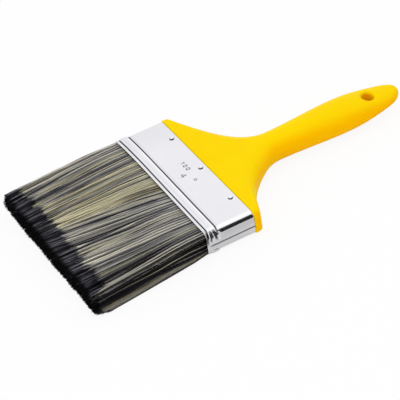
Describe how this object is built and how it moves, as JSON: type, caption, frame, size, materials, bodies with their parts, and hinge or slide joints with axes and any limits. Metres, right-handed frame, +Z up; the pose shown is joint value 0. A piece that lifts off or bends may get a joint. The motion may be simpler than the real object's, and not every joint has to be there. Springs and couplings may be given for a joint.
{
  "type": "flat paint brush",
  "caption": "Flat wall paint brush: yellow moulded handle with a hang hole, wrapped plated steel ferrule and dark-tipped mixed filaments that flex at the root.",
  "frame": {"origin": "on the surface the brush lies on, under the middle of its length and width", "axes": "+X across the brush towards the lap seam side, +Y from the filament tips to the handle's end, +Z up out of the front face"},
  "size_m": [0.104, 0.2128, 0.0159],
  "materials": {
    "handle_plastic": "satin yellow polypropylene moulding",
    "ferrule_steel": "bright plated steel sheet",
    "nail_steel": "bright domed nail",
    "setting_resin": "cast amber resin",
    "strip_wood": "plain sawn strip",
    "filament": "mixed tan, grey and black tapered filaments with black tips"
  },
  "bodies": {
    "handle_and_ferrule": {"handle": "handle_plastic", "ferrule": "ferrule_steel", "front_nail_1": "nail_steel", "front_nail_2": "nail_steel", "front_nail_3": "nail_steel", "back_nail_1": "nail_steel", "back_nail_2": "nail_steel", "back_nail_3": "nail_steel", "resin_setting": "setting_resin", "front_spacer_strip": "strip_wood", "back_spacer_strip": "strip_wood", "front_filament_roots": "filament", "middle_filament_roots": "filament", "back_filament_roots": "filament"},
    "bristles": {"front_filaments": "filament", "middle_filaments": "filament", "back_filaments": "filament"}
  },
  "joints": [
    {"name": "bristle_flex", "type": "hinge", "parent": "handle_and_ferrule", "child": "bristles", "pos_m": [0, -0.0494, 0.00795], "axis": [1, 0, 0], "range_deg": [-30, 30], "stiffness_Nm_per_rad": 1.1}
  ]
}
